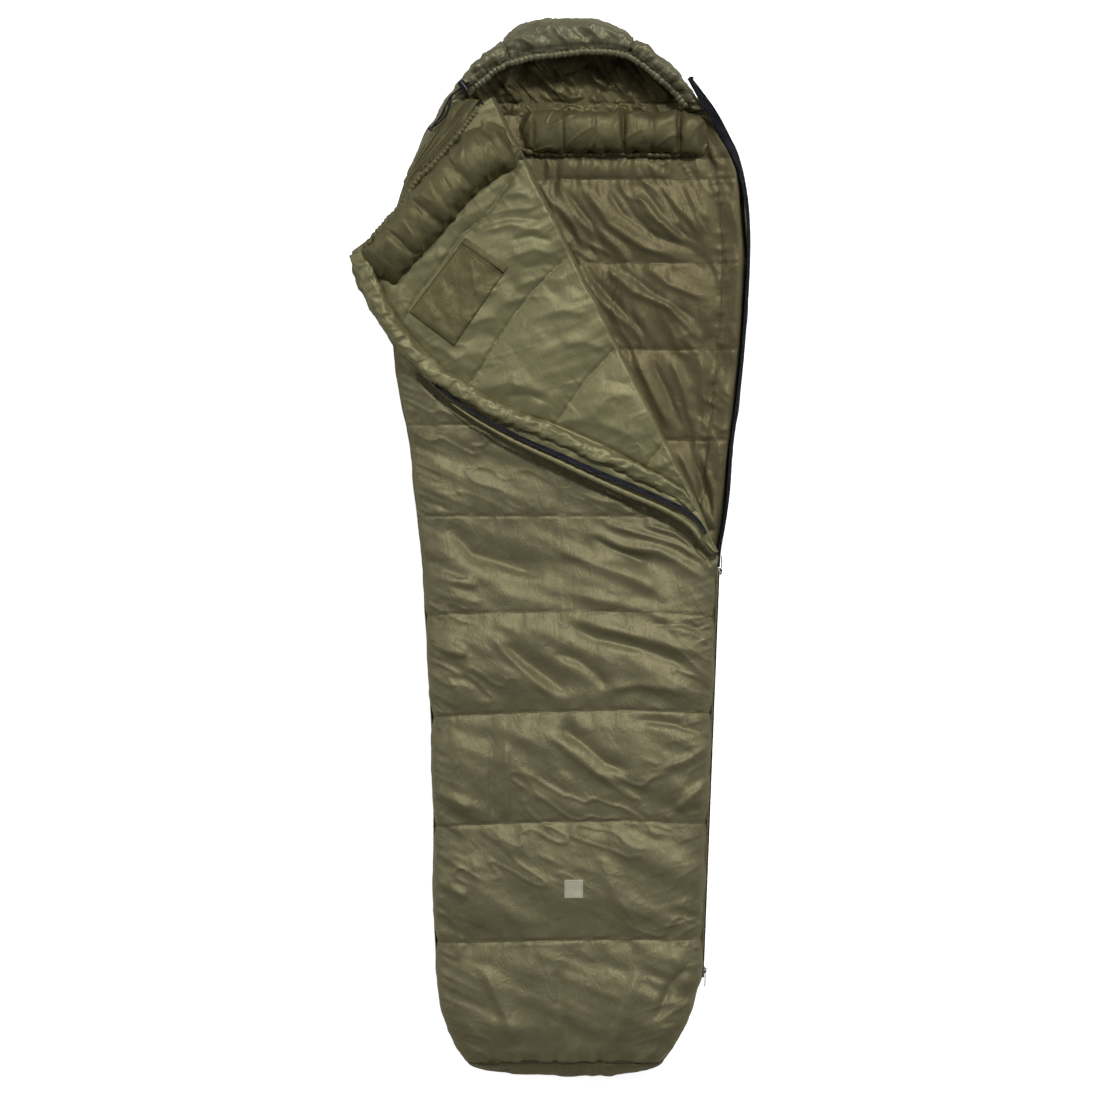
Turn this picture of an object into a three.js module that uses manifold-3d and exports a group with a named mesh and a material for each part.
// Mummy sleeping bag, laid flat with its front panel up. The zip on the +X side is undone
// from the head to mid-body, and the front panel's upper part is folded over towards -X.
// Units are millimetres. +Z is up and +Y points to the head. Left means -X, right means +X.
// The origin is on the floor under the middle of the bag.

import * as THREE from 'three';
import { mergeVertices } from 'three/addons/utils/BufferGeometryUtils.js';
import Module from 'manifold-3d';

const wasm = await Module();
wasm.setup();

// ---------------------------------------------------------------- driving dimensions
const SEAM_Z = 36;         // height of the side seam, the top edge of the back panel
const SEAM_GAP = 0.6;      // clearance between back panel and front panel at that seam
const FABRIC = 1.5;        // thickness of a shell or lining layer
const FILL_INSET = 2;      // from a quilt's face to its insulation
const BODY_QUILT = 28;     // full thickness of the back and front panels
const HOOD_QUILT = 20;
const FOOT_QUILT = 19;
const TAPE = 1;            // zip tape thickness
const COIL = 2.6;          // zip coil width and thickness
const CORD_RADIUS = 1.8;

// Heights of the flap's layers, from below. The lining is uppermost.
const FLAP_BOTTOM = 69;
const FLAP_LINING_Z = 93.2;
const FLAP_LAYERS = {
  shell: [FLAP_BOTTOM, FLAP_BOTTOM + FABRIC],
  insulation: [71, 92.6],
  lining: [FLAP_LINING_Z, FLAP_LINING_Z + FABRIC],
};
const FLAP_TOP = FLAP_LAYERS.lining[1] + 0.4;  // where the parts sewn on the lining start

// Fold line of the flap: a point on it near the zip's split, its direction towards the
// head, and the direction across the flap, away from the line.
const FOLD = [350.0, -12.5];
const FOLD_ALONG = [-0.448, 0.894];
const FOLD_ACROSS = [-FOLD_ALONG[1], FOLD_ALONG[0]];

// Closed zip line: straight, from the split to the zip's end near the foot.
const ZIP_SPLIT = [355.2, -43.8];
const ZIP_END = [321.9, -887.5];
const ZIP_RUN = [ZIP_END[0] - ZIP_SPLIT[0], ZIP_END[1] - ZIP_SPLIT[1]];
const ZIP_LENGTH = Math.hypot(...ZIP_RUN);

// ---------------------------------------------------------------- materials
const material = (color, roughness, metalness = 0) =>
  new THREE.MeshStandardMaterial({ color, roughness, metalness });

// Colour, roughness and, for metal, metalness.
const MATERIALS = {
  shell: material(0x68634c, 0.8),
  footShell: material(0x635d47, 0.8),
  lining: material(0x5c5642, 0.55),
  flapLining: material(0x7e7a5e, 0.55),
  fill: material(0xe8e6de, 0.95),
  hoodLining: material(0x322d1e, 0.6),
  zipTape: material(0x17181c, 0.7),
  zipCoil: material(0x101114, 0.45),
  plastic: material(0x121316, 0.35),
  cord: material(0x15161a, 0.7),
  patch: material(0xbeb9a2, 0.75),
  zinc: material(0x1c1d21, 0.4, 0.6),
};

// ---------------------------------------------------------------- geometry helpers
const vec = (x, y, z) => new THREE.Vector3(x, y, z);
const { lerp } = THREE.MathUtils;

// BufferGeometry from positions and triangles, turned so that its faces point out.
function outward(positions, index) {
  let volume = 0;
  const a = vec();
  const b = vec();
  const c = vec();
  for (let k = 0; k < index.length; k += 3) {
    a.fromArray(positions, 3 * index[k]);
    b.fromArray(positions, 3 * index[k + 1]);
    c.fromArray(positions, 3 * index[k + 2]);
    volume += a.dot(b.cross(c));
  }
  if (volume < 0) {
    for (let k = 0; k < index.length; k += 3) {
      [index[k + 1], index[k + 2]] = [index[k + 2], index[k + 1]];
    }
  }
  const geometry = new THREE.BufferGeometry();
  geometry.setAttribute('position', new THREE.BufferAttribute(positions, 3));
  geometry.setIndex(index);
  geometry.computeVertexNormals();
  return geometry;
}

// A closed solid between two grids of points with the same layout. The grids use the
// triangle layout of a PlaneGeometry, and a strip of quads closes their borders.
function slab(columns, rows, firstPoint, secondPoint) {
  const stride = columns + 1;
  const count = stride * (rows + 1);
  const positions = new Float32Array(count * 6);
  for (let j = 0; j <= rows; j++) {
    for (let i = 0; i <= columns; i++) {
      const k = j * stride + i;
      firstPoint(i, j).toArray(positions, 3 * k);
      secondPoint(i, j).toArray(positions, 3 * (count + k));
    }
  }

  const index = [];
  const face = new THREE.PlaneGeometry(1, 1, columns, rows).index.array;
  for (let k = 0; k < face.length; k += 3) {
    index.push(face[k], face[k + 1], face[k + 2]);
    index.push(count + face[k], count + face[k + 2], count + face[k + 1]);
  }

  const border = [];
  for (let i = 0; i <= columns; i++) border.push(i);
  for (let j = 1; j <= rows; j++) border.push(j * stride + columns);
  for (let i = columns - 1; i >= 0; i--) border.push(rows * stride + i);
  for (let j = rows - 1; j >= 1; j--) border.push(j * stride);
  border.forEach((a, k) => {
    const b = border[(k + 1) % border.length];
    index.push(a, b, count + b, a, count + b, count + a);
  });
  return outward(positions, index);
}

// A slab between two depths of one surface, given as pointAt(column, row, depth).
const layerSlab = (columns, rows, pointAt, firstDepth, secondDepth) => slab(columns, rows,
  (i, j) => pointAt(i, j, firstDepth),
  (i, j) => pointAt(i, j, secondDepth));

// Booleans on closed meshes.
function toManifold(geometry) {
  const bare = geometry.clone();
  bare.deleteAttribute('normal');
  bare.deleteAttribute('uv');
  const merged = mergeVertices(bare, 1e-4);
  return new wasm.Manifold(new wasm.Mesh({
    numProp: 3,
    vertProperties: new Float32Array(merged.attributes.position.array),
    triVerts: new Uint32Array(merged.index.array),
  }));
}

function fromManifold(manifold) {
  const mesh = manifold.getMesh();
  const geometry = new THREE.BufferGeometry();
  const positions = new Float32Array(mesh.vertProperties);
  geometry.setAttribute('position', new THREE.BufferAttribute(positions, 3));
  geometry.setIndex(new THREE.BufferAttribute(new Uint32Array(mesh.triVerts), 1));
  geometry.computeVertexNormals();
  return geometry;
}

const union = (parts) => fromManifold(parts.map(toManifold).reduce((sum, part) => sum.add(part)));
const cut = (body, tools) => fromManifold(
  tools.map(toManifold).reduce((rest, tool) => rest.subtract(tool), toManifold(body)));

// The point beside station i of a path in XY, at a distance to the left of its travel.
function beside(path, i, distance) {
  const before = path[Math.max(0, i - 1)];
  const after = path[Math.min(path.length - 1, i + 1)];
  const dx = after[0] - before[0];
  const dy = after[1] - before[1];
  const length = Math.hypot(dx, dy);
  return [path[i][0] - (dy / length) * distance, path[i][1] + (dx / length) * distance];
}

// A flat strip along a path of [x, y] or [x, y, z]. from and to are the distances of its
// two sides from the path, to the left of the direction of travel.
function ribbon(path, from, to, bottom, top) {
  const pointAt = (i, j, z) => vec(...beside(path, j, i ? to : from), (path[j][2] ?? 0) + z);
  return layerSlab(1, path.length - 1, pointAt, top, bottom);
}

// Point function of a half-oval section along stations of [x, y, half width, height].
// Scale shrinks the section about the path.
const humpPoint = (stations, base, sides) => (i, j, scale) => {
  const [, , halfWidth, height] = stations[j];
  const angle = (Math.PI * i) / sides;
  const sine = Math.max(0, Math.sin(angle));
  const [x, y] = beside(stations, j, halfWidth * scale * Math.cos(angle));
  return vec(x, y, base + height * scale * Math.pow(sine, 0.8));
};

function humpCover(stations, base, sides) {
  return layerSlab(sides, stations.length - 1, humpPoint(stations, base, sides), 1, 0.92);
}

function humpFill(stations, base, sides) {
  const scale = 0.86;
  const lift = 0.6;
  const pointAt = humpPoint(stations, base, sides);
  return slab(sides, stations.length - 1,
    (i, j) => pointAt(i, j, scale).add(vec(0, 0, lift)),
    (i, j) => pointAt(i, j, scale).setZ(base));
}

// A round cord along a smooth curve, closed at both ends.
function cord(points, radius, steps, sides) {
  const corners = Array.from({ length: sides }, (_, k) => {
    const angle = (2 * Math.PI * k) / sides;
    return new THREE.Vector2(radius * Math.cos(angle), radius * Math.sin(angle));
  });
  const section = new THREE.Shape(corners);
  section.closePath();
  const extrudePath = new THREE.CatmullRomCurve3(points.map((p) => vec(...p)));
  return new THREE.ExtrudeGeometry(section, { steps, bevelEnabled: false, extrudePath });
}

// The same 3D path with both end points moved outwards.
function longer(path, by) {
  const moved = (end, next) => {
    const length = Math.hypot(...end.map((v, k) => v - next[k]));
    return end.map((v, k) => v + ((v - next[k]) * by) / length);
  };
  return [moved(path[0], path[1]), ...path.slice(1, -1), moved(path.at(-1), path.at(-2))];
}

// A flat plate from an outline of [x, y] points.
function plate(outline, bottom, top) {
  const shape = new THREE.Shape(outline.map(([x, y]) => new THREE.Vector2(x, y)));
  const depth = top - bottom;
  const options = { depth, bevelEnabled: false, curveSegments: 1 };
  return new THREE.ExtrudeGeometry(shape, options).translate(0, 0, bottom);
}

// Boxes by size and centre, and by the range they span on each axis.
const boxAt = (size, centre) => new THREE.BoxGeometry(...size).translate(...centre);
const boxBetween = (...ranges) => boxAt(
  ranges.map(([a, b]) => Math.abs(b - a)),
  ranges.map(([a, b]) => (a + b) / 2));

// ---------------------------------------------------------------- assembly helpers
const bag = new THREE.Group();

function add(name, geometry, meshMaterial, place) {
  const mesh = new THREE.Mesh(geometry, meshMaterial);
  mesh.name = name;
  place?.(mesh);
  bag.add(mesh);
}

// Depths of a quilted panel's layers, measured from its shell face.
const quiltLayers = (thickness) => ({
  shell: [0, FABRIC],
  insulation: [FILL_INSET, thickness - FILL_INSET],
  lining: [thickness - FABRIC, thickness],
});

// Shell, insulation and lining of one panel. layer(from, to) builds a layer's geometry.
function addQuilt(name, layers, layer, shell, lining) {
  add(`${name}_shell`, layer(...layers.shell), shell);
  add(`${name}_insulation`, layer(...layers.insulation), MATERIALS.fill);
  add(`${name}_lining`, layer(...layers.lining), lining);
}

// A padded half-oval tube lying on a surface.
function addPaddedTube(name, stations, base, sides, cover) {
  add(`${name}_cover`, humpCover(stations, base, sides), cover);
  add(`${name}_fill`, humpFill(stations, base, sides), MATERIALS.fill);
}

// A fabric channel, open at both ends, with a cord in it.
function addDrawcord(name, path, steps) {
  const channel = cord(path, 6, steps, 8);
  const bore = cord(longer(path, 3), 3, steps, 6);
  add(`${name}_drawcord_channel`, cut(channel, [bore]), MATERIALS.shell);
  add(`${name}_drawcord`, cord(path, CORD_RADIUS, steps, 6), MATERIALS.cord);
}

// ---------------------------------------------------------------- body outline
// From the neck to the foot: [y, left x, right x].
const EDGE = [
  [968.8, -191.7, 297.9], [956.3, -200.0, 316.7], [914.6, -227.1, 347.9],
  [872.9, -254.2, 370.8], [831.3, -272.9, 387.5], [789.6, -291.7, 404.2],
  [747.9, -306.2, 410.4], [706.2, -316.7, 412.5], [622.9, -327.1, 418.8],
  [539.6, -329.2, 416.7], [456.3, -327.1, 412.5], [372.9, -318.8, 404.2],
  [289.6, -302.1, 395.8], [206.3, -287.5, 385.4], [122.9, -279.2, 377.1],
  [39.6, -270.8, 365.6], [-22.9, -262.5, 354.2], [-43.8, -260.4, 352.1],
  [-127.1, -258.3, 354.2], [-210.4, -252.1, 347.9], [-293.8, -247.9, 343.8],
  [-377.1, -243.8, 341.7], [-460.4, -242.7, 340.6], [-543.8, -239.6, 339.6],
  [-627.1, -239.6, 335.4], [-710.4, -239.6, 333.3], [-793.8, -237.5, 327.1],
  [-835.4, -235.4, 322.9], [-877.1, -233.3, 320.8], [-918.8, -229.2, 310.4],
  [-960.4, -222.9, 300.0], [-1002.1, -208.3, 281.2], [-1043.8, -189.6, 260.4],
  [-1068.8, -170.8, 241.7],
];

// X of the outline at y, interpolated in one column of EDGE and held beyond its ends.
function edgeX(y, column) {
  const below = EDGE.findIndex((row) => row[0] < y);
  if (below === 0) return EDGE[0][column];
  if (below < 0) return EDGE.at(-1)[column];
  const low = EDGE[below];
  const high = EDGE[below - 1];
  return lerp(low[column], high[column], (y - low[0]) / (high[0] - low[0]));
}

const leftEdge = (y) => edgeX(y, 1);

// Right edge of the body panels: inside the closed zip, elsewhere inside the outline.
function rightEdge(y) {
  const outline = edgeX(y, 2);
  const besideZip = y < ZIP_SPLIT[1] + 24 && y > ZIP_END[1] - 20;
  if (!besideZip) return outline - 3.2;
  const zipX = lerp(ZIP_SPLIT[0], ZIP_END[0], (y - ZIP_SPLIT[1]) / ZIP_RUN[1]);
  return Math.min(outline, zipX - 4.2);
}

const foldX = (y) => FOLD[0] + (FOLD_ALONG[0] / FOLD_ALONG[1]) * (y - FOLD[1]);

// ---------------------------------------------------------------- back panel
// Side of the section, mirrored at the right: [inset from edge, z, inward x, inward z].
const BACK_SIDE = [[0, SEAM_Z, 1, 0], [5, 15, 0.87, 0.5], [22, 2.5, 0.42, 0.91], [60, 0, 0, 1]];
const BACK_ROWS = [
  900.0, 852.1, 779.2, 695.8, 597.9, 477.1, 352.1, 227.1, 102.1, -22.9, -133.3,
  -339.6, -570.8, -814.6, -918.8, -991.7, -1054.2,
];

// Columns 0 to 3 are the left side, 8 to 11 the right side.
function backPoint(i, j, depth) {
  const y = BACK_ROWS[j];
  const left = leftEdge(y);
  const right = rightEdge(y);
  if (i > 3 && i < 8) {
    const margin = BACK_SIDE[3][0];
    return vec(left + margin + ((right - left - 2 * margin) * (i - 3)) / 5, y, depth);
  }
  const [inset, z, inX, inZ] = BACK_SIDE[Math.min(i, 11 - i)];
  const fromEdge = inset + inX * depth;
  return vec(i < 4 ? left + fromEdge : right - fromEdge, y, z + inZ * depth);
}

const backLayer = (from, to) => layerSlab(11, BACK_ROWS.length - 1, backPoint, to, from);

// ---------------------------------------------------------------- front panel
// An arch over the closed body. Above the zip's split it is only as wide as the fold line
// leaves it, and its right end stays level, at the fold line.
// [y, crest height, share of the open profile]
const FRONT_ROWS = [
  [900.0, 68, 1], [852.1, 68, 1], [779.2, 68, 1], [695.8, 68, 1], [597.9, 68, 1],
  [508.3, 68, 1], [416.7, 68, 1], [320.8, 68, 1], [227.1, 68, 1], [143.8, 68, 1],
  [68.8, 68, 1], [8.3, 68, 1], [-27.1, 68, 0.6], [-68.8, 76, 0], [-133.3, 83, 0],
  [-235.4, 92, 0], [-339.6, 86, 0], [-454.2, 95, 0], [-570.8, 88, 0], [-689.6, 95, 0],
  [-814.6, 86, 0], [-918.8, 90, 0], [-991.7, 84, 0], [-1054.2, 73, 0],
];
const FRONT_CROWN = [1, 1, 0.985, 0.985];  // hold the order of use below
const CROWN_BY_COLUMN = { 4: 0.985, 5: FRONT_CROWN[0], 6: FRONT_CROWN[1], 7: 0.985 };

function frontPoint(i, j, depth) {
  const [y, crest, open] = FRONT_ROWS[j];
  const base = SEAM_Z + SEAM_GAP;
  const rise = crest - base;
  const left = leftEdge(y);
  const right = Math.min(rightEdge(y), foldX(y) - 0.6);
  const width = right - left;
  const margin = Math.min(60, width * 0.44);
  if (i > 3 && i < 8) {
    const crown = open > 0.5 ? 1 : CROWN_BY_COLUMN[i];
    const x = left + margin + ((width - 2 * margin) * (i - 3)) / 5;
    return vec(x, y, base + crown * rise - depth);
  }
  // Side of the section: [inset from edge, share of the rise, inward x, inward z].
  const side = [
    [0, 0, 1, 0], [4, 0.38, 0.93, -0.36], [0.36 * margin, 0.8, 0.5, -0.87],
    [margin, 0.95, 0, -1],
  ];
  const [inset, share, inX, inZ] = side[Math.min(i, 11 - i)];
  const z = base + share * rise + inZ * depth;
  if (i < 4) return vec(left + inset + inX * depth, y, z);
  const closed = vec(right - inset - inX * depth, y, z);
  const level = vec(right - inset * 0.9, y, crest - depth);
  return closed.lerp(level, open);
}

const frontLayer = (from, to) => layerSlab(11, FRONT_ROWS.length - 1, frontPoint, from, to);

// ---------------------------------------------------------------- foot panel
// A bulged end piece across the foot. corner is the drop in height at its two ends.
const FOOT = {
  left: -179.2, right: 250.0, bottom: 3, top: 72, y: -1074.0, bulge: 26, corner: 12,
  columns: 8, rows: 4,
};

function footPoint(i, j, depth) {
  const across = i / FOOT.columns;
  const up = j / FOOT.rows;
  const side = Math.pow(Math.abs(2 * across - 1), 3);
  const edge = Math.pow(Math.abs(2 * up - 1), 4);
  const drop = FOOT.corner * side;
  return vec(
    lerp(FOOT.left, FOOT.right, across),
    FOOT.y - FOOT.bulge * (1 - side) * (1 - 0.35 * edge) + depth,
    lerp(FOOT.bottom + drop, FOOT.top - drop, up));
}

const footLayer = (from, to) => layerSlab(FOOT.columns, FOOT.rows, footPoint, from, to);

function addBody() {
  const { shell, lining, footShell } = MATERIALS;
  addQuilt('back', quiltLayers(BODY_QUILT), backLayer, shell, lining);
  addQuilt('front', quiltLayers(BODY_QUILT), frontLayer, shell, lining);
  addQuilt('foot', quiltLayers(FOOT_QUILT), footLayer, footShell, lining);
}

// ---------------------------------------------------------------- hood
// Stations around the hood, from its left end past the head end to its right end:
// [outline x, y, rim x, y, floor point x, y, height of the brim].
const HOOD = [
  [-231.3, 908.3, -183.3, 916.7, -102.1, 908.3, 84],
  [-208.3, 945.8, -172.9, 943.8, -77.1, 908.3, 92],
  [-181.2, 981.3, -150.0, 966.7, -52.1, 908.3, 100],
  [-145.8, 1020.8, -120.8, 989.6, -27.1, 908.3, 106],
  [-100.0, 1064.6, -81.2, 1010.4, 0.0, 908.3, 110],
  [-43.8, 1092.7, -33.3, 1020.8, 27.1, 908.3, 112],
  [14.6, 1101.0, 16.7, 1027.1, 56.3, 908.3, 112],
  [72.9, 1101.0, 70.8, 1032.3, 85.4, 908.3, 112],
  [131.2, 1091.7, 125.0, 1032.3, 114.6, 908.3, 112],
  [185.4, 1062.5, 170.8, 1022.9, 143.8, 908.3, 110],
  [231.3, 1022.9, 208.3, 997.9, 172.9, 908.3, 104],
  [270.8, 987.5, 239.6, 972.9, 202.1, 908.3, 92],
  [297.9, 960.4, 266.7, 950.0, 231.3, 908.3, 72],
  [339.6, 914.6, 302.1, 914.6, 264.6, 908.3, 56],
];
const RIM_HEIGHT = 0.95;  // height of the rim, as a share of the brim's

function hoodPoint(i, j, depth) {
  const [outlineX, outlineY, rimX, rimY, floorX, floorY, height] = HOOD[j];
  const outline = vec(outlineX, outlineY, 0);
  const toRim = vec(rimX, rimY, 0).sub(outline);
  const toFloor = vec(floorX, floorY, 0).sub(outline);
  const reach = toRim.length();
  const far = toFloor.length();
  // [direction, distance from the outline, z, inward along the direction, inward z]
  const profile = [
    [toFloor, far, 0, 0, 1],
    [toFloor, Math.min(80, far * 0.7), 0, 0, 1],
    [toFloor, Math.min(30, far * 0.35), 3, 0.42, 0.91],
    [toRim, 4, 0.26 * height, 0.93, 0.36],
    [toRim, 0, 0.56 * height, 1, 0],
    [toRim, reach * 0.18, 0.87 * height, 0.8, -0.6],
    [toRim, reach * 0.6, height, 0.15, -0.99],
    [toRim, reach, RIM_HEIGHT * height, 0, -1],
  ];
  const [direction, distance, z, inward, inZ] = profile[i];
  return outline
    .addScaledVector(direction.normalize(), distance + inward * depth)
    .setZ(z + inZ * depth);
}

const hoodLayer = (from, to) => layerSlab(7, HOOD.length - 1, hoodPoint, from, to);

// The drawcord follows the rim, shifted away from the outline and down, and leaves out
// the hood's two end stations.
function hoodCordPath() {
  const shift = 9.5;
  const drop = 10;
  return HOOD.slice(1, -1).map(([outlineX, outlineY, rimX, rimY, , , height]) => {
    const dx = rimX - outlineX;
    const dy = rimY - outlineY;
    const ratio = shift / Math.hypot(dx, dy);
    return [rimX + dx * ratio, rimY + dy * ratio, RIM_HEIGHT * height - drop];
  });
}

function addHood() {
  addQuilt('hood', quiltLayers(HOOD_QUILT), hoodLayer, MATERIALS.shell, MATERIALS.hoodLining);
  addDrawcord('hood', hoodCordPath(), 22);
}

// ---------------------------------------------------------------- neck baffle
// Padded collar across the back lining: [x, y, half width, height].
const NECK = [
  [-47.9, 854.2, 22, 14], [-8.3, 858.3, 31, 30], [64.6, 862.5, 34.5, 38],
  [147.9, 863.5, 34.5, 40], [231.3, 863.5, 34.5, 40], [293.8, 862.5, 32, 36],
  [325.0, 860.4, 24, 22],
];
const NECK_BASE = BODY_QUILT + 0.6;

// The collar, with an elastic along its foot side.
function addNeckBaffle() {
  addPaddedTube('neck_baffle', NECK, NECK_BASE, 6, MATERIALS.lining);
  const path = NECK.map(([x, y]) => [x, y]);
  const elastic = ribbon(path, -41.5, -38, NECK_BASE, NECK_BASE + 3);
  add('neck_baffle_elastic', elastic, MATERIALS.shell);
}

// ---------------------------------------------------------------- open zip half, base
// Open edge of the base, from the head to the split: [x, y, z].
const BASE_ZIP = [
  [297.9, 970.8, 88], [320.8, 943.8, 74], [343.8, 914.6, 60], [360.4, 889.6, 46],
  [377.1, 858.3, 39], [391.7, 829.2, 37.6], [404.2, 787.5, 37.4], [414.6, 727.1, 37.4],
  [418.8, 664.6, 37.4], [418.8, 606.2, 37.4], [414.6, 518.8, 37.4], [406.3, 406.3, 37.4],
  [395.8, 306.2, 37.4], [383.3, 214.6, 37.4], [377.1, 127.1, 37.4], [368.8, 60.4, 37.4],
  [360.4, 8.3, 37.4],
];

function addBaseZip() {
  const coilBottom = -0.8;
  const coil = ribbon(BASE_ZIP, -COIL, 0, coilBottom, coilBottom + COIL);
  add('base_zip_tape', ribbon(BASE_ZIP, -13, -3, 0, TAPE), MATERIALS.zipTape);
  add('base_zip_coil', coil, MATERIALS.zipCoil);
  const [x, y, z] = BASE_ZIP[0];
  add('base_zip_top_stop', boxAt([9, 5, 4], [x - 3, y + 4.5, z + 0.5]), MATERIALS.zinc);
}

// ---------------------------------------------------------------- closed zip
// Its parts are built in the zip's frame, with its origin at the split: x is outward,
// y runs along the zip towards the head, z is up from the middle of the seam gap.
const SLIDER_LENGTH = 15;
const UPPER_SLIDER_Y = -SLIDER_LENGTH / 2 + 4;
const LOWER_SLIDER_Y = -ZIP_LENGTH + SLIDER_LENGTH / 2 + 1;

function placeOnZip(mesh) {
  mesh.position.set(...ZIP_SPLIT, SEAM_Z + SEAM_GAP / 2);
  mesh.rotation.z = Math.atan2(ZIP_RUN[1], ZIP_RUN[0]) + Math.PI / 2;
}

// Two plates joined by a thin web that runs between the two coils, and a bridge on the
// outside that holds the pull.
function slider(y) {
  const length = [y - SLIDER_LENGTH / 2, y + SLIDER_LENGTH / 2];
  const plateZ = [-6, 6];
  const bridgeZ = [-1.5, 1.5];
  return union([
    boxBetween([1.7, 3.2], length, plateZ),
    boxBetween([-3.2, -1.7], length, plateZ),
    boxBetween([-2, 2], length, [-0.3, 0.3]),
    boxBetween([3, 6.6], [y - 5, y - 3.4], bridgeZ),
    boxBetween([3, 6.6], [y + 3.4, y + 5], bridgeZ),
    boxBetween([5.4, 6.6], [y - 5, y + 5], bridgeZ),
  ]);
}

// The pull's loop passes under the bridge, and its tab lies along the zip. Direction is 1
// for a tab towards the head, -1 towards the foot.
function pull(y, direction) {
  const along = (from, to) => [y + direction * from, y + direction * to];
  const loopX = [3.7, 4.9];
  return union([
    boxBetween(loopX, along(-0.6, 0.6), [-3.6, 3.6]),
    boxBetween(loopX, along(-0.6, 12), [2.4, 3.8]),
    boxBetween(loopX, along(-0.6, 12), [-3.8, -2.4]),
    boxBetween([3.6, 5.2], along(10, 34), [-4, 4]),
  ]);
}

function addClosedZip() {
  const { zipTape, zipCoil, zinc, plastic } = MATERIALS;
  const addOnZip = (name, geometry, mat) => add(name, geometry, mat, placeOnZip);
  // Thickness across the zip, and the heights of the strip's two sides from the middle.
  const strip = (thickness, near, far) =>
    boxBetween([-thickness / 2, thickness / 2], [-ZIP_LENGTH, 0], [near, far]);
  const [tapeNear, tapeFar] = [3.6, 15.6];
  const coilNear = 0.6;
  const coilFar = coilNear + COIL;
  addOnZip('closed_zip_tape_front', strip(TAPE, tapeNear, tapeFar), zipTape);
  addOnZip('closed_zip_tape_back', strip(TAPE, -tapeFar, -tapeNear), zipTape);
  addOnZip('closed_zip_coil_front', strip(COIL, coilNear, coilFar), zipCoil);
  addOnZip('closed_zip_coil_back', strip(COIL, -coilFar, -coilNear), zipCoil);

  const stopY = [-ZIP_LENGTH - 6.4, -ZIP_LENGTH - 0.4];
  addOnZip('zip_bottom_stop', boxBetween([-1.8, 2.2], stopY, [-4, 4]), zinc);

  for (const [name, y, direction] of [['upper', UPPER_SLIDER_Y, 1], ['lower', LOWER_SLIDER_Y, -1]]) {
    addOnZip(`${name}_slider_body`, slider(y), zinc);
    addOnZip(`${name}_slider_pull`, pull(y, direction), plastic);
  }
}

// ---------------------------------------------------------------- flap
// The upper front panel, folded over on its fold line, lining up.
// Points given in the flap's own frame: [across the fold line, along it to the head].
const FLAP_OUTLINE = [
  [1.2, 4.2], [1.2, 1058.3], [27.1, 1058.3], [50.0, 1052.1], [100.0, 1025.0],
  [143.8, 1006.3], [177.1, 991.7], [208.3, 983.3], [270.8, 939.6], [350.0, 910.4],
  [395.8, 905.2], [411.5, 870.8], [417.7, 827.1], [417.5, 780.2], [412.1, 731.2],
  [407.5, 689.6], [389.0, 622.9], [351.7, 525.8], [305.2, 451.2], [256.7, 380.4],
  [187.9, 290.0], [136.9, 224.6], [83.8, 158.5], [51.0, 111.9], [28.8, 68.1],
  [17.7, 20.8], [12.5, 4.2],
];
const CHIN_CHANNEL = [
  [27.1, 1043.8], [54.2, 1036.5], [100.0, 1013.5], [143.8, 994.8], [177.1, 981.9],
  [208.3, 972.9], [270.8, 929.2], [333.3, 902.1], [383.3, 889.6],
];
// [across, along, half width, height]
const CHIN_BAFFLE = [
  [6.2, 962.5, 20, 18], [45.8, 958.3, 36, 34], [104.2, 947.9, 39, 44],
  [166.7, 928.1, 38, 48], [229.2, 900.0, 37, 48], [287.5, 874.0, 33, 44],
  [327.1, 857.3, 29.5, 36],
];
// Paths given in the bag's frame: [x, y].
const DRAFT_TUBE = [
  [-381.2, 558.3], [-366.7, 522.9], [-341.7, 479.2], [-304.2, 435.4], [-266.7, 395.8],
  [-227.1, 358.3], [-139.6, 300.0], [-81.2, 268.8], [-2.1, 235.4], [85.4, 196.9],
  [139.6, 172.9], [197.9, 145.8], [235.4, 129.2], [266.7, 109.4],
];
const FLAP_ZIP = [
  [-204.2, 318.8], [-143.8, 278.1], [-85.4, 245.8], [-45.8, 225.0], [31.3, 191.7],
  [104.2, 158.3], [177.1, 129.2], [229.2, 106.3], [279.2, 82.3], [306.2, 60.4],
];
const ZIP_FACING = [
  [-212.5, 306.2], [-152.1, 264.6], [-91.7, 231.3], [-52.1, 210.4], [27.1, 172.9],
  [100.0, 137.5], [172.9, 105.2], [225.0, 83.3], [264.6, 60.4], [281.2, 45.8],
];
const POCKET = [[-172.9, 643.8], [-85.4, 581.2], [-195.8, 418.8], [-289.6, 489.6]];

// A point of the flap in the bag's frame, followed by any further columns unchanged.
const fromFlap = ([across, along, ...rest]) => [
  FOLD[0] + FOLD_ALONG[0] * along + FOLD_ACROSS[0] * across,
  FOLD[1] + FOLD_ALONG[1] * along + FOLD_ACROSS[1] * across,
  ...rest,
];

function addFlapPanel() {
  const outline = FLAP_OUTLINE.map(fromFlap);
  const layer = (bottom, top) => plate(outline, bottom, top);
  addQuilt('flap', FLAP_LAYERS, layer, MATERIALS.shell, MATERIALS.flapLining);
  const tube = DRAFT_TUBE.map(([x, y]) => [x, y, 12, 20]);
  addPaddedTube('draft_tube', tube, FLAP_TOP, 5, MATERIALS.flapLining);
}

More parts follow.
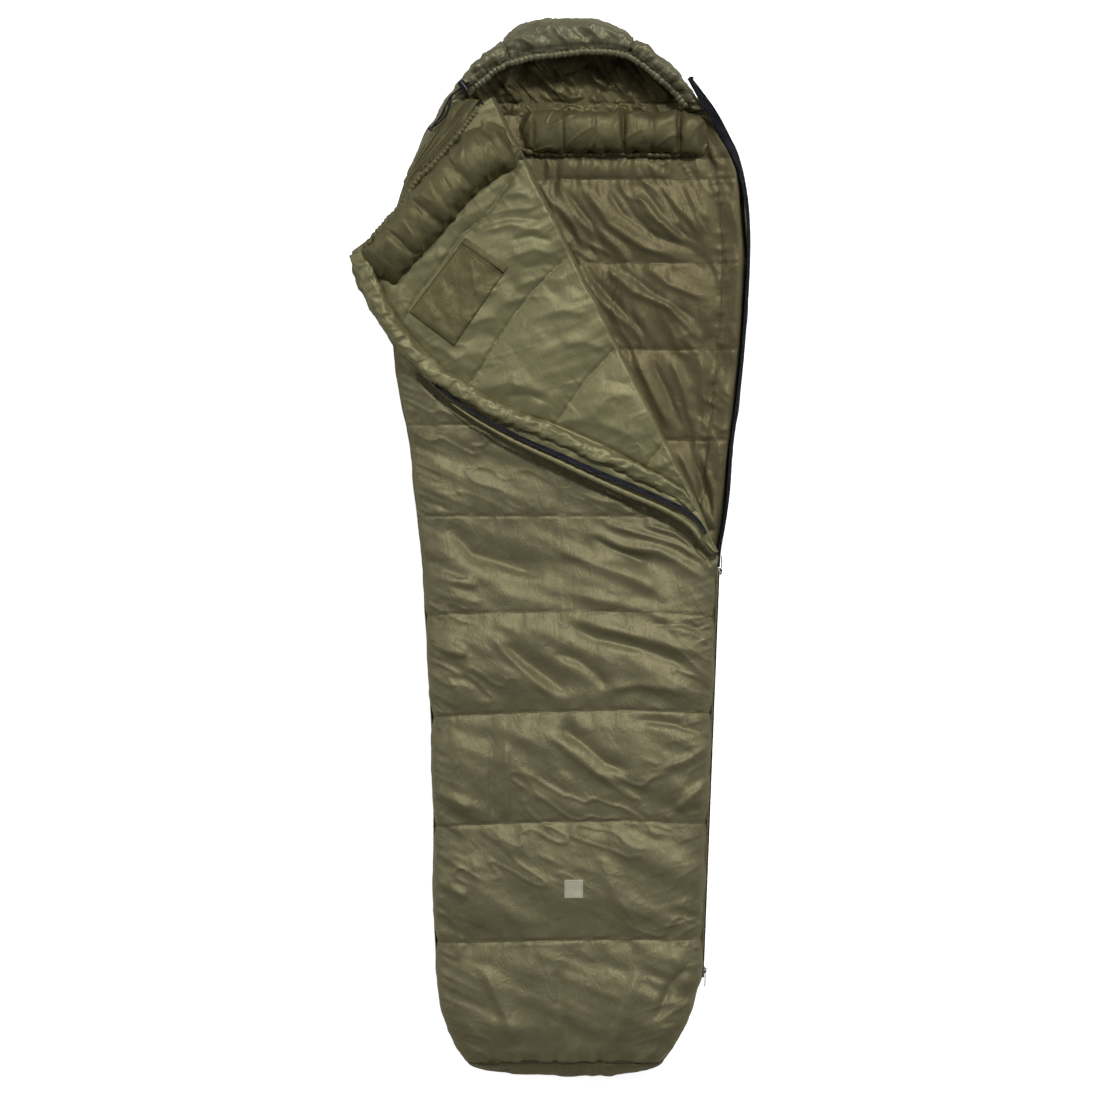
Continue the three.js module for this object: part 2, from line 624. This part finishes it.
function addFlapZip() {
  const side = -5;
  const tapeTop = FLAP_TOP + TAPE;
  const coilBottom = tapeTop + 0.3;
  const coil = ribbon(FLAP_ZIP, side, side + COIL, coilBottom, coilBottom + COIL);
  add('flap_zip_tape', ribbon(FLAP_ZIP, side, 4.4, FLAP_TOP, tapeTop), MATERIALS.zipTape);
  add('flap_zip_coil', coil, MATERIALS.zipCoil);
  const [x, y] = FLAP_ZIP[0];
  const stop = new THREE.BoxGeometry(5, 9, 4);
  stop.rotateZ(-0.6);
  stop.translate(x - 5.2, y + 3.4, FLAP_TOP + 2.3);
  add('flap_zip_top_stop', stop, MATERIALS.zinc);
  add('zip_facing', ribbon(ZIP_FACING, -4, 4, FLAP_TOP, FLAP_TOP + 1.6), MATERIALS.shell);
}

function addChin() {
  addPaddedTube('chin_baffle', CHIN_BAFFLE.map(fromFlap), FLAP_TOP, 6, MATERIALS.shell);
  addDrawcord('chin', CHIN_CHANNEL.map((point) => [...fromFlap(point), FLAP_TOP + 6.8]), 16);
}

// Pocket on the flap's lining, with a hem strip along the edge nearest the head.
function addPocket() {
  const hemPath = POCKET.slice(0, 2).map(([x, y]) => [x - 4, y - 6]);
  const hem = ribbon(hemPath, -6, 6, FLAP_TOP + 2.4, FLAP_TOP + 3.6);
  add('inner_pocket', plate(POCKET, FLAP_TOP, FLAP_TOP + 2), MATERIALS.flapLining);
  add('pocket_hem', hem, MATERIALS.flapLining);
}

// Blank square patch on the front panel, in its foot half.
function addPatch() {
  add('front_patch', boxAt([40, 40, 1], [51.0, -703.1, 95.9]), MATERIALS.patch);
}

// ---------------------------------------------------------------- cord lock
// At the left end of the hood's rim, with the tail of the drawcord.
const LOCK = [-176.4, 955.4, 108];
const LOCK_ANGLE = 0.6616;  // the cord's direction through the lock
const CORD_TAIL = [
  [-164.6, 964.6, 108.0], [-174.1, 957.2, 108.0], [-183.5, 949.9, 108.0],
  [-193.0, 942.5, 108.0], [-202.5, 935.1, 108.0], [-211.5, 918.8, 106.0],
  [-222.9, 895.8, 101.0], [-237.5, 877.1, 97.0],
];

function placeLock(mesh) {
  mesh.position.set(...LOCK);
  mesh.rotation.z = LOCK_ANGLE;
}

// A cylinder along y.
const cylinder = (radius, length, y, segments) =>
  new THREE.CylinderGeometry(radius, radius, length, segments).translate(0, y, 0);

// The barrel lies across the cord, which runs through its bore along x. The button slides
// into the barrel's well along y, and its slot clears the cord.
function addCordLock() {
  const bore = cylinder(2.7, 30, 0, 12).rotateZ(Math.PI / 2);
  const well = cylinder(5.4, 24, 2.4, 16);
  const barrel = cut(cylinder(7.5, 22, -1, 20), [bore, well]);
  add('cord_lock_barrel', barrel, MATERIALS.plastic, placeLock);
  const slot = boxAt([20, 8.4, 5], [0, 2, 0]);
  const button = cut(cylinder(4.9, 19, 4.5, 16), [slot]);
  add('cord_lock_button', button, MATERIALS.plastic, placeLock);
}

function addCordTail() {
  add('cord_tail', cord(CORD_TAIL, CORD_RADIUS, 14, 6), MATERIALS.cord);
  const bead = new THREE.CylinderGeometry(3.4, 2.6, 11, 12);
  bead.rotateZ(0.9);
  bead.translate(-245.2, 868.3, 97.0);
  add('cord_end_bead', bead, MATERIALS.plastic);
}

// ---------------------------------------------------------------- assembly
addBody();
addHood();
addNeckBaffle();
addBaseZip();
addClosedZip();
addFlapPanel();
addFlapZip();
addChin();
addPocket();
addPatch();
addCordLock();
addCordTail();

export default bag;
